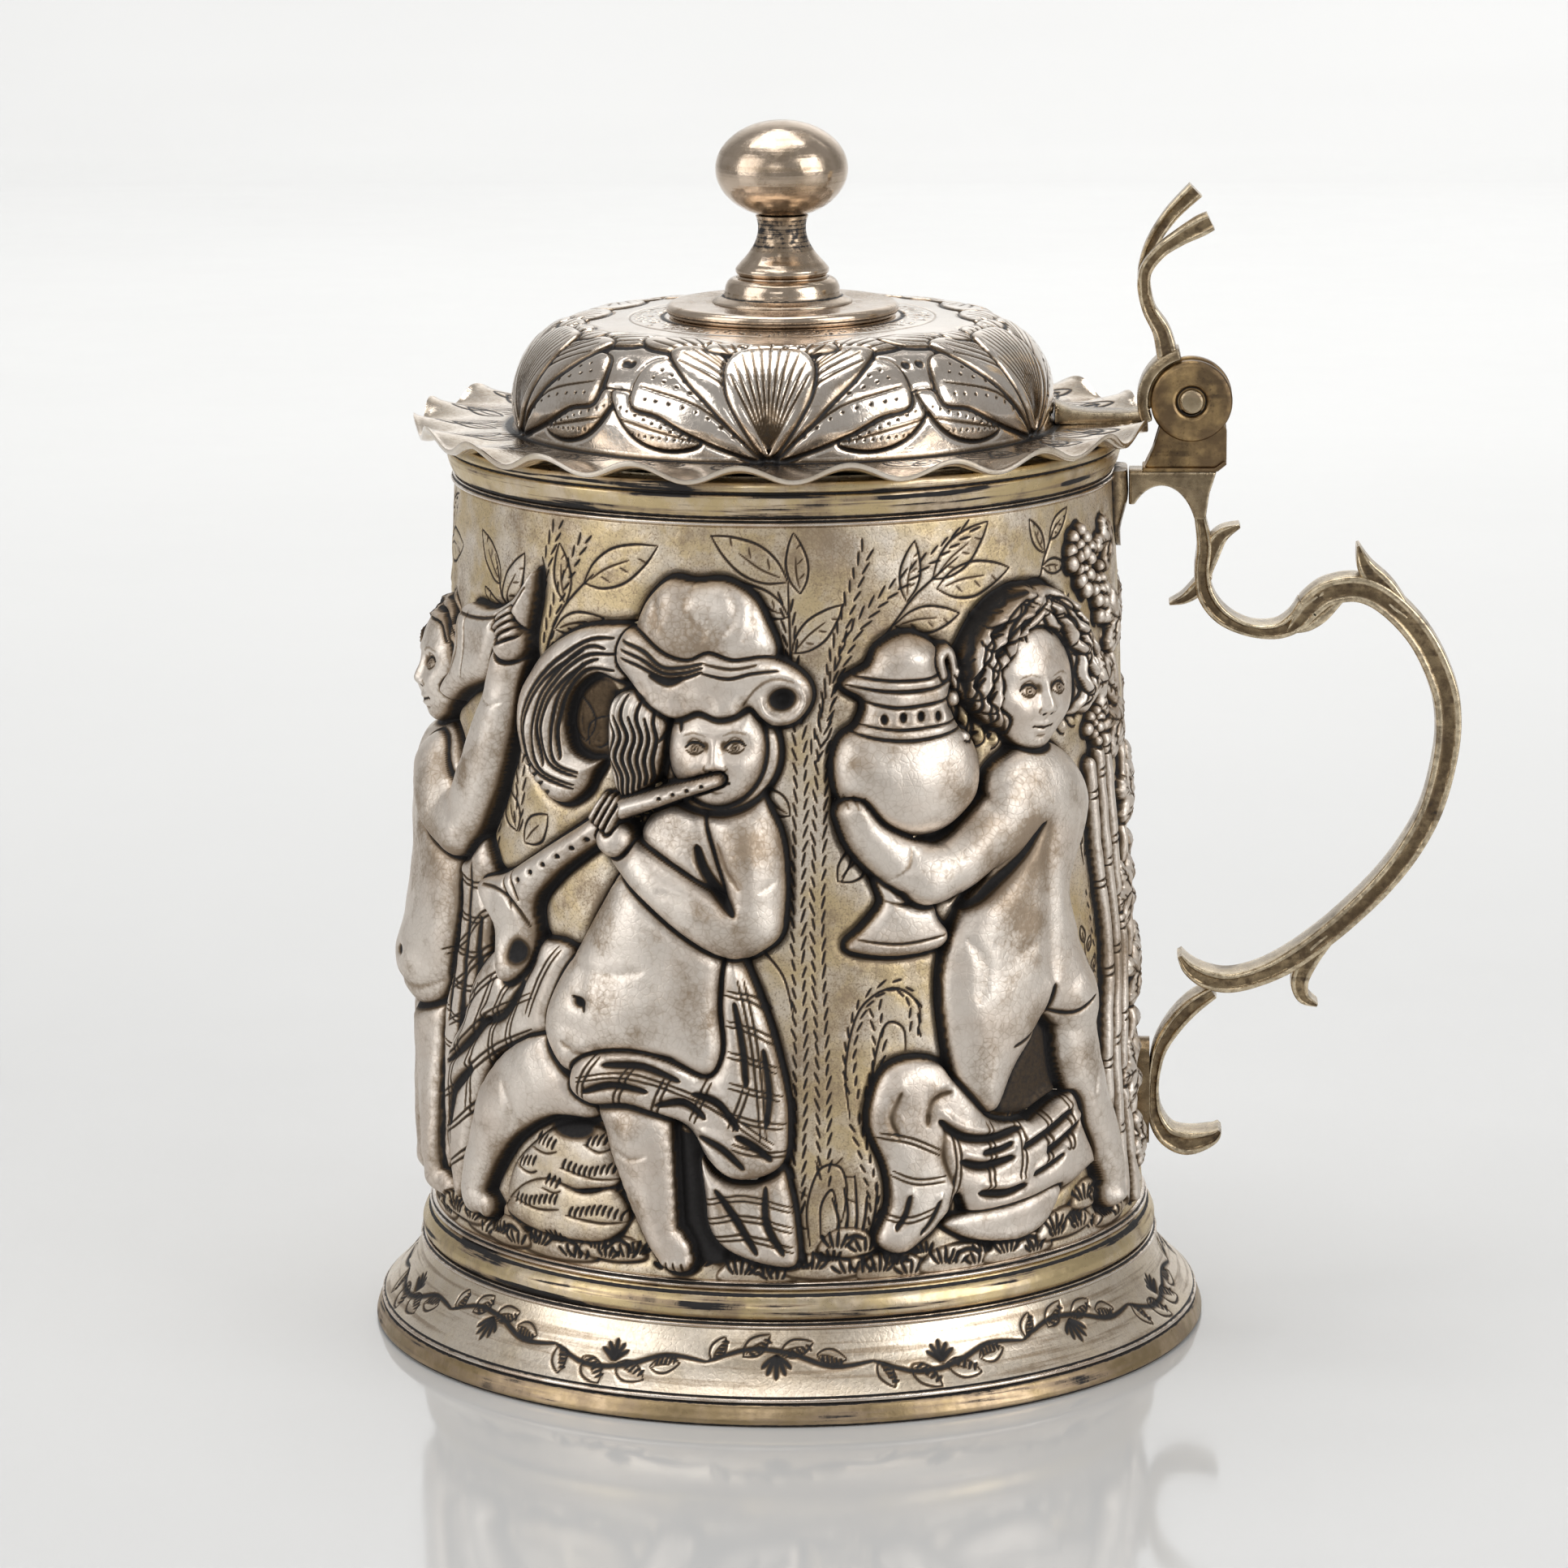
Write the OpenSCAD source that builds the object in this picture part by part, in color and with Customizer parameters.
// Lidded silver tankard with a spreading foot, a domed lid on a hinge and an open scroll handle.
// Millimetres. +Z is up, the origin is the centre of the foot's resting plane, +X points to the handle.

/* [Foot] */
// Outer radius of the foot where it rests
foot_r = 65; // [62:0.5:68]
// Height of the plain rim band at the bottom of the foot
foot_rim_h = 3.4; // [2.5:0.1:4]
// Height at which the drum wall starts, above the last foot bead
drum_z0 = 19.8; // [19.5:0.1:21]
// Thickness of the foot's sheet
foot_sheet = 1.4; // [1:0.1:2]

/* [Drum] */
// Outer radius of the drum at its lower end
drum_r0 = 55.5; // [54.5:0.1:56]
// Outer radius of the drum under the lip
drum_r1 = 50.6; // [50.4:0.1:51]
// Thickness of the drum wall
drum_sheet = 1.5; // [1:0.1:2]
// Height of the lip's top edge
lip_z = 139.5; // [139:0.1:139.6]

/* [Lid] */
// Radius of the lid's flange
flange_r = 56.8; // [55.5:0.1:58]
// Radius of the dome's side
dome_r = 41.2; // [39:0.1:43]
// Height of the dome's crown
dome_z = 157.3; // [156.5:0.1:157.3]
// Thickness of the lid's sheet
lid_sheet = 1.2; // [0.8:0.1:1.6]
// Gap between the closed lid and the lip
lid_gap = 0.2; // [0.1:0.05:0.3]

/* [Finial] */
// Radius of the round plate under the finial
plate_r = 17.8; // [15:0.1:20]
// Radius of the flattened ball
ball_r = 10.15; // [9:0.05:11]
// Half the height of the flattened ball
ball_half = 7.45; // [7:0.05:8]

/* [Hinge] */
// Distance from the tankard's axis to the hinge pin
hinge_x = 62.5; // [62.5:0.1:63]
// Height of the hinge pin
hinge_z = 144.3; // [144.2:0.1:144.6]
// Radius of the two round cheeks
cheek_r = 6.25; // [6:0.05:6.3]
// Overall width of the hinge along its pin
hinge_w = 7; // [6.6:0.1:8]
// Radius of the hinge pin
pin_r = 1.5; // [1:0.1:1.8]

/* [Handle] */
// Width of the handle's scrolls, across the tankard
scroll_w = 6.6; // [5:0.1:8]

/* [Hidden] */
$fn = 96;

silver = "Silver";
gilt = "DarkKhaki";
bronze = "Peru";

// Foot: heights and radii of its stacked rings
rim_top_r = foot_r - 0.9;
rim_inner_r = foot_r - 4;
wire_h = 1.0;
skirt_z0 = foot_rim_h + wire_h;
skirt_z1 = 12.8;
skirt_r0 = foot_r - 1.4;
skirt_r1 = 57.4;
skirt_sag = 0.8;
skirt_steps = 10;
collar_z0 = 14.0;
collar_z1 = 18.4;
ring_bore_r = 54.6;

// Drum: the straight neck inside the lip rings
neck_z = 132.6;
neck_r = drum_r1 - 0.6;
neck_inner_r = neck_r - 1.1;
lip_wire_z1 = neck_z + 1.3;

// Lid: the sheet's heights and the dome's elliptical shoulder
flange_z0 = lip_z + lid_gap;
flange_z1 = flange_z0 + 1.0;
shoulder_z = 144.2;
shoulder_r = 29.6;
shoulder_top = dome_z - 0.6;
shoulder_steps = 12;
bezel_r = neck_inner_r - 0.9;
bezel_z0 = lip_z - 3.9;
notch_x = 53.4;
notch_w = hinge_w + 2.2;

// Finial: heights of its stacked turnings
plate_z1 = dome_z + 2;
step_z1 = plate_z1 + 4.1;
ball_z = dome_z + 22.3;
ball_cut = 0.45;
neck_top = ball_z - ball_half + ball_cut;
stud_r = 1.5;
stud_z0 = dome_z - 4.3;
stud_z1 = neck_top + 4.4;
washer_h = 0.5;
nut_h = 2.2;
nut_r = 3.6;

// Hinge: the knuckle between the cheeks and the leaf that wraps round them
cheek_t = hinge_w * 0.29;
knuckle_w = hinge_w - 2 * cheek_t - 0.2;
knuckle_r = cheek_r - 0.65;
pin_fit = 0.05;
leaf_r0 = cheek_r + 0.35;
leaf_r1 = leaf_r0 + 1.7;
block_top = hinge_z - 6.7;
block_bottom = 133.5;

// Centreline of the upper handle from the bracket's stem to the start of the main scroll: x, z, half thickness
link_line = [[63.9, 126.4, 0.85], [64.6, 122, 1.1], [64.3, 118, 1.15], [64.9, 114.2, 1.3], [67.4, 110.9, 1.2],
    [71.5, 108.9, 1.0], [75.8, 108.7, 1.2], [78.8, 110.2, 1.6], [80.6, 112.3, 1.9]];
// Centreline of the main scroll, from the same place down to its curled end
main_line = [[80.6, 112.3, 1.9], [83.6, 114.6, 1.95], [88.4, 115.2, 2.0], [93.0, 112.9, 2.0],
    [97.9, 107.6, 2.0], [101.3, 100.5, 2.0], [102.3, 94.6, 1.95], [101.8, 88.4, 1.85], [99.9, 80.9, 1.75],
    [96.7, 74.6, 1.75], [92.5, 69.0, 1.7], [87.6, 64.0, 1.65], [83.0, 60.0, 1.6], [78.0, 56.4, 1.6],
    [73.5, 54.2, 1.5], [69.0, 53.1, 1.5], [65.3, 53.7, 1.4], [62.6, 55.4, 1.0], [61.2, 57.4, 0.4]];
// Centreline of the small lower scroll, from under the main scroll down round the pad
lower_line = [[66.4, 51.6, 1.0], [63.2, 49.3, 1.3], [60.4, 46.2, 1.3], [58.3, 42.6, 1.1], [57.4, 38.6, 0.9],
    [57.2, 34.6, 0.9], [57.7, 31.2, 1.2], [59.5, 28.4, 1.5], [62.6, 27.3, 1.8], [66.8, 28.2, 0.9]];
line_steps = 6;

// Bracket: the face it shares with the tab, the height where the upper link takes over, and its arch
tab_x = 53;
link_z = 126;
arch_steps = 32;

// Drum radius at a height
function drum_r(z) = drum_r0 + (drum_r1 - drum_r0) * (z - drum_z0) / (neck_z - drum_z0);

// One point of a Catmull-Rom curve between b and c
function blend4(a, b, c, d, t) = 0.5 * ((2 * b) + (c - a) * t + (2 * a - 5 * b + 4 * c - d) * t * t
    + (3 * b - a - 3 * c + d) * t * t * t);

// A smooth curve through the points of a line
function smooth(p) = let (n = len(p) - 1) concat(
    [for (i = [0 : n - 1], k = [0 : line_steps - 1])
        blend4(p[max(i - 1, 0)], p[i], p[i + 1], p[min(i + 2, n)], k / line_steps)],
    [p[n]]);

// Unit vector across a curve at one of its points
function across(c, i) = let (n = len(c) - 1, a = c[max(i - 1, 0)], b = c[min(i + 1, n)],
    v = [b[0] - a[0], b[1] - a[1]]) [-v[1], v[0]] / norm(v);

// Outline of a band that follows a curve at the curve's half thickness
function band(c) = concat(
    [for (i = [0 : len(c) - 1]) [c[i][0], c[i][1]] + across(c, i) * c[i][2]],
    [for (i = [len(c) - 1 : -1 : 0]) [c[i][0], c[i][1]] - across(c, i) * c[i][2]]);

// The upper link and the main scroll share one curve, so their ends meet face to face
upper_line = concat(link_line, [for (i = [1 : len(main_line) - 1]) main_line[i]]);
upper_curve = smooth(upper_line);
joint_i = (len(link_line) - 1) * line_steps;

// The part of the band along the upper curve from point i0 to point i1
function upper_band(i0, i1) = concat(
    [for (i = [i0 : i1]) [upper_curve[i][0], upper_curve[i][1]] + across(upper_curve, i) * upper_curve[i][2]],
    [for (i = [i1 : -1 : i0]) [upper_curve[i][0], upper_curve[i][1]]
        - across(upper_curve, i) * upper_curve[i][2]]);

// A flat outline in the XZ plane given thickness w about the plane y = y0
module slab(w, y0 = 0) {
    translate([0, y0, 0]) rotate([90, 0, 0]) linear_extrude(w, center = true) children();
}

// A ring turned from an outline of radius and height
module turned(points) {
    rotate_extrude() polygon(points);
}

// A solid cone on the drum's outside surface, carried past both its ends
module drum_cone() {
    z0 = drum_z0 - 10;
    z1 = neck_z + 10;
    translate([0, 0, z0]) cylinder(r1 = drum_r(z0), r2 = drum_r(z1), h = z1 - z0);
}

module foot_rim() {
    color(gilt) turned([[rim_inner_r, 0], [foot_r, 0], [foot_r, 0.6], [rim_top_r, foot_rim_h],
        [skirt_r0 - foot_sheet, foot_rim_h]]);
}

module foot_rim_wire() {
    color(silver) turned([[skirt_r0 - foot_sheet, foot_rim_h], [skirt_r0 + 0.3, foot_rim_h],
        [skirt_r0 + 0.5, foot_rim_h + wire_h / 2], [skirt_r0 + 0.2, skirt_z0],
        [skirt_r0 - foot_sheet, skirt_z0]]);
}

// Radius of the skirt's hollow curve at a fraction t of its height
function skirt_r(t) = skirt_r0 + (skirt_r1 - skirt_r0) * t - skirt_sag * 4 * t * (1 - t);

module foot_skirt() {
    outside = [for (i = [0 : skirt_steps]) let (t = i / skirt_steps)
        [skirt_r(t), skirt_z0 + (skirt_z1 - skirt_z0) * t]];
    inside = [for (i = [skirt_steps : -1 : 0]) let (t = i / skirt_steps)
        [skirt_r(t) - foot_sheet, skirt_z0 + (skirt_z1 - skirt_z0) * t]];
    color(silver) turned(concat(outside, inside));
}

module foot_skirt_wire() {
    color(silver) turned([[ring_bore_r, skirt_z1], [skirt_r1 + 0.2, skirt_z1],
        [skirt_r1 + 0.5, (skirt_z1 + collar_z0) / 2], [skirt_r1 + 0.1, collar_z0], [ring_bore_r, collar_z0]]);
}

// Ovolo moulding round the foot of the drum
module foot_collar() {
    color(gilt) turned([[ring_bore_r, collar_z0], [57.1, collar_z0], [57.5, collar_z0 + 0.9],
        [57.4, collar_z0 + 2], [56.9, collar_z0 + 3.2], [56.1, collar_z1], [ring_bore_r, collar_z1]]);
}

module foot_bead() {
    color(silver) turned([[ring_bore_r, collar_z1], [56, collar_z1], [56.4, (collar_z1 + drum_z0) / 2],
        [56, drum_z0], [ring_bore_r, drum_z0]]);
}

// Bottom of the cup, let into the bead
module base_disc() {
    color(gilt) translate([0, 0, collar_z1]) cylinder(r = ring_bore_r, h = drum_z0 - collar_z1);
}

// Tapered wall with a straight neck that carries the lip rings
module drum_wall() {
    color(silver) turned([[drum_r0 - drum_sheet, drum_z0], [drum_r0, drum_z0], [drum_r1, neck_z],
        [neck_r, neck_z], [neck_r, lip_z], [neck_inner_r, lip_z], [neck_inner_r, neck_z]]);
}

module lip_wire() {
    color(silver) turned([[neck_r, neck_z], [drum_r1 + 0.1, neck_z], [drum_r1 + 0.5, neck_z + 0.6],
        [drum_r1 + 0.2, lip_wire_z1], [neck_r, lip_wire_z1]]);
}

// Lip moulding: a convex band, a groove and a rounded top edge
module lip_band() {
    color(gilt) turned([[neck_r, lip_wire_z1], [drum_r1 + 0.1, lip_wire_z1], [drum_r1 + 0.5, 135.2],
        [drum_r1 + 1.0, 136.6], [drum_r1 + 1.1, 137.6], [drum_r1 + 0.8, 137.8], [drum_r1 + 1.3, 138.1],
        [drum_r1 + 1.4, 138.8], [drum_r1 + 1.0, lip_z], [neck_r, lip_z]]);
}

// Tapered tab soldered to the drum under the bracket
module wall_tab() {
    tab_top = neck_z - 0.1;
    color(bronze) difference() {
        translate([46, 0, 0]) rotate([90, 0, 90]) linear_extrude(tab_x - 46) union() {
            polygon([[-4, 125.5], [4, 125.5], [5, tab_top], [-5, tab_top]]);
            translate([0, 125.5]) circle(r = 4);
        }
        drum_cone();
    }
}

// Arched bracket from the tab to the stem, with its flat seat under the hinge block
module handle_bracket() {
    arch = [for (i = [0 : arch_steps]) let (a = 180 * i / arch_steps)
        [58 + 5.55 * cos(a), 122.5 + 8.8 * sin(a)]];
    color(bronze) slab(scroll_w) difference() {
        polygon([[tab_x, link_z], [tab_x, block_bottom], [66.4, block_bottom], [65.3, 130], [64.75, link_z]]);
        polygon(arch);
    }
}

// Block that carries the two cheeks
module hinge_block() {
    color(bronze) slab(hinge_w) polygon([[55.2, block_bottom], [66.4, block_bottom], [67.9, 134.6],
        [67.9, block_top], [57, block_top]]);
}

// One round cheek on its neck, drilled for the pin
module hinge_cheek(side) {
    color(bronze) slab(cheek_t, side * (hinge_w - cheek_t) / 2) difference() {
        union() {
            translate([hinge_x, hinge_z]) circle(r = cheek_r);
            polygon([[57, block_top], [67.9, block_top], [67.9, 140.6], [hinge_x, hinge_z], [57.2, 140.4]]);
        }
        translate([hinge_x, hinge_z]) circle(r = pin_r);
    }
}

module hinge_cheek_front() {
    hinge_cheek(-1);
}

module hinge_cheek_back() {
    hinge_cheek(1);
}

// Pin with a low riveted head at each end
module hinge_pin() {
    head_h = 0.5;
    color(bronze) translate([hinge_x, 0, hinge_z]) rotate([90, 0, 0]) union() {
        cylinder(r = pin_r, h = hinge_w, center = true);
        for (side = [-1, 1]) translate([0, 0, side * (hinge_w + head_h) / 2])
            cylinder(r = pin_r + 0.3, h = head_h, center = true);
    }
}

// S-shaped link from the stem to the main scroll, with an outer thorn and an inner thorn
module handle_upper_link() {
    color(bronze) slab(scroll_w) difference() {
        union() {
            polygon(upper_band(0, joint_i));
            polygon([[64.3, 126], [66.6, 125.8], [70, 124.9], [67.6, 122.9], [66.2, 120.8], [65.2, 117.5],
                [64, 119]]);
            polygon([[63.4, 118.5], [65, 115], [63.8, 113.9], [61.4, 113.2], [59.3, 112.8], [61.2, 113.9],
                [62.5, 115.6]]);
        }
        translate([55, link_z]) square(20);
    }
}

// Long C-shaped scroll with a shoulder thorn, a thorn underneath and a curled end
module handle_main_scroll() {
    color(bronze) slab(scroll_w) union() {
        polygon(upper_band(joint_i, len(upper_curve) - 1));
        polygon([[87, 116], [88, 118.6], [88.1, 121.9], [90.2, 119.2], [94.6, 115.6], [96, 110], [90, 114]]);
        polygon([[74.6, 54], [84, 61], [85.4, 59.5], [82.4, 56.5], [80.9, 54], [81.1, 51.6], [82.8, 49.7],
            [81.4, 49.2], [79.6, 49.7], [77.4, 52]]);
    }
}

// Small scroll between the main scroll and the drum, cut to seat against the main scroll and the pad
module handle_lower_scroll() {
    color(bronze) slab(scroll_w) difference() {
        polygon(band(smooth(lower_line)));
        polygon(upper_band(joint_i, len(upper_curve) - 1));
        translate([50, 26]) square([6.6, 20]);
    }
}

// Pad that the small scroll is soldered to
module handle_lower_pad() {
    color(bronze) difference() {
        translate([50, 0, 35.3]) rotate([0, 90, 0]) linear_extrude(6.6) union() {
            square([9, 8], center = true);
            for (side = [-1, 1]) translate([side * 4.5, 0]) circle(r = 4);
        }
        drum_cone();
    }
}

// Half outline of the dome's outside, from the flange up to the crown
function dome_outside(inset) = concat(
    [[dome_r - inset, flange_z0], [dome_r - inset, shoulder_z]],
    [for (i = [1 : shoulder_steps]) let (a = 90 * i / shoulder_steps)
        [shoulder_r + (dome_r - inset - shoulder_r) * cos(a),
         shoulder_z + (shoulder_top - inset - shoulder_z) * sin(a)]],
    [[plate_r, dome_z - inset]]);

// Flange and dome raised from one sheet, pierced for the stud, with a notch clearing the hinge
module lid_shell() {
    dome = dome_outside(0);
    inner = dome_outside(lid_sheet);
    n = len(dome) - 1;
    color(silver) difference() {
        turned(concat([[dome_r - lid_sheet, flange_z0], [flange_r, flange_z0], [flange_r, flange_z1],
            [dome_r, flange_z1]],
            [for (i = [1 : n]) dome[i]],
            [[stud_r, dome_z], [stud_r, dome_z - lid_sheet]],
            [for (i = [n : -1 : 1]) inner[i]]));
        translate([notch_x, -notch_w / 2, flange_z0 - 1]) cube([10, notch_w, 3]);
    }
}

// Seating ring under the flange that drops inside the lip
module lid_bezel() {
    color(gilt) turned([[bezel_r - 1, bezel_z0], [bezel_r, bezel_z0], [bezel_r, flange_z0],
        [bezel_r - 1, flange_z0]]);
}

// Bar across the flange and the leaf that wraps round the cheeks
module lid_strap() {
    color(bronze) slab(hinge_w) difference() {
        union() {
            translate([hinge_x, hinge_z]) circle(r = leaf_r1);
            polygon([[44.5, flange_z1], [55.6, flange_z1], [56.3, 143.4], [54.6, 142.6], [44.5, 143.3]]);
        }
        translate([hinge_x, hinge_z]) circle(r = leaf_r0);
        translate([hinge_x, hinge_z]) polygon([[0, 0], [-3.2, 12], [20, 12], [20, -20], [-7.6, -20],
            [-7.6, -3.6]]);
    }
}

// Round knuckle between the cheeks, joined to the leaf by a short web
module lid_knuckle() {
    color(bronze) slab(knuckle_w) difference() {
        union() {
            translate([hinge_x, hinge_z]) circle(r = knuckle_r);
            intersection() {
                translate([hinge_x, hinge_z]) circle(r = leaf_r0);
                translate([hinge_x, hinge_z]) polygon([[0, 0], [-3, 12], [-12, 6], [-12, -2]]);
            }
        }
        translate([hinge_x, hinge_z]) circle(r = pin_r + pin_fit);
    }
}

// Thumbpiece: a curved stem that forks into two prongs, the front one bent further over
module thumbpiece() {
    stem = [[58.7, 151.6, 1.5], [57.9, 154.8, 1.3], [56.0, 158.2, 1.0], [55.2, 161.6, 1.0], [55.4, 164.4, 1.0]];
    front = [[55.2, 161.6, 1.0], [55.4, 164.4, 1.0], [57.6, 167.3, 1.0], [61.0, 169.9, 1.1], [64.8, 172.1, 1.3]];
    back = [[55.2, 161.6, 1.0], [55.4, 164.4, 1.0], [56.6, 168.3, 1.0], [59.4, 172.4, 1.1], [63.0, 176.0, 1.3]];
    color(bronze) difference() {
        union() {
            slab(6) polygon(band(smooth(stem)));
            slab(3.4, -3.2) polygon(band(smooth(front)));
            slab(3.4, 3.2) polygon(band(smooth(back)));
        }
        slab(12) translate([hinge_x, hinge_z]) circle(r = leaf_r1);
    }
}

// Round plate under the finial
module finial_plate() {
    color(silver) turned([[stud_r, dome_z], [plate_r - 0.3, dome_z], [plate_r, dome_z + 0.6],
        [plate_r, dome_z + 1.5], [plate_r - 0.6, plate_z1], [stud_r, plate_z1]]);
}

// Stepped and rounded collar
module finial_step() {
    color(silver) turned([[stud_r, plate_z1], [10.3, plate_z1], [10.3, plate_z1 + 0.5],
        [9.7, plate_z1 + 1.5], [9.2, plate_z1 + 1.7], [8.9, plate_z1 + 2.4], [8.2, plate_z1 + 3.1],
        [7.3, plate_z1 + 3.5], [7.3, step_z1], [stud_r, step_z1]]);
}

// Turned neck, narrow in the middle and flared at both ends
module finial_neck() {
    steps = 10;
    waist = [for (i = [0 : steps]) let (t = i / steps)
        [3.3 + 3.2 * pow(1 - t, 2.6) + 0.7 * pow(t, 4), step_z1 + 1.8 + (neck_top - step_z1 - 1.8) * t]];
    color(silver) turned(concat([[stud_r, step_z1], [6.9, step_z1], [7.0, step_z1 + 0.8],
        [6.9, step_z1 + 1.6]], waist, [[stud_r, neck_top]]));
}

// Flattened ball, drilled from below for the stud
module finial_ball() {
    steps = 24;
    a0 = -asin((ball_half - ball_cut) / ball_half);
    skin = [for (i = [0 : steps]) let (a = a0 + (90 - a0) * i / steps)
        [max(ball_r * cos(a), 0), ball_z + ball_half * sin(a)]];
    color(silver) difference() {
        turned(concat([[0, neck_top]], skin));
        translate([0, 0, neck_top - 1]) cylinder(r = stud_r, h = stud_z1 - neck_top + 1);
    }
}

// Stud through the finial and the lid
module finial_stud() {
    color(bronze) translate([0, 0, stud_z0]) cylinder(r = stud_r, h = stud_z1 - stud_z0);
}

module finial_washer() {
    color(bronze) translate([0, 0, dome_z - lid_sheet - washer_h]) difference() {
        cylinder(r = 5, h = washer_h);
        translate([0, 0, -1]) cylinder(r = stud_r, h = washer_h + 2);
    }
}

module finial_nut() {
    color(bronze) translate([0, 0, dome_z - lid_sheet - washer_h - nut_h]) difference() {
        cylinder(r = nut_r, h = nut_h, $fn = 6);
        translate([0, 0, -1]) cylinder(r = stud_r, h = nut_h + 2);
    }
}

foot_rim();
foot_rim_wire();
foot_skirt();
foot_skirt_wire();
foot_collar();
foot_bead();
base_disc();
drum_wall();
lip_wire();
lip_band();
wall_tab();
handle_bracket();
hinge_block();
hinge_cheek_front();
hinge_cheek_back();
hinge_pin();
handle_upper_link();
handle_main_scroll();
handle_lower_scroll();
handle_lower_pad();
lid_shell();
lid_bezel();
lid_strap();
lid_knuckle();
thumbpiece();
finial_plate();
finial_step();
finial_neck();
finial_ball();
finial_stud();
finial_washer();
finial_nut();
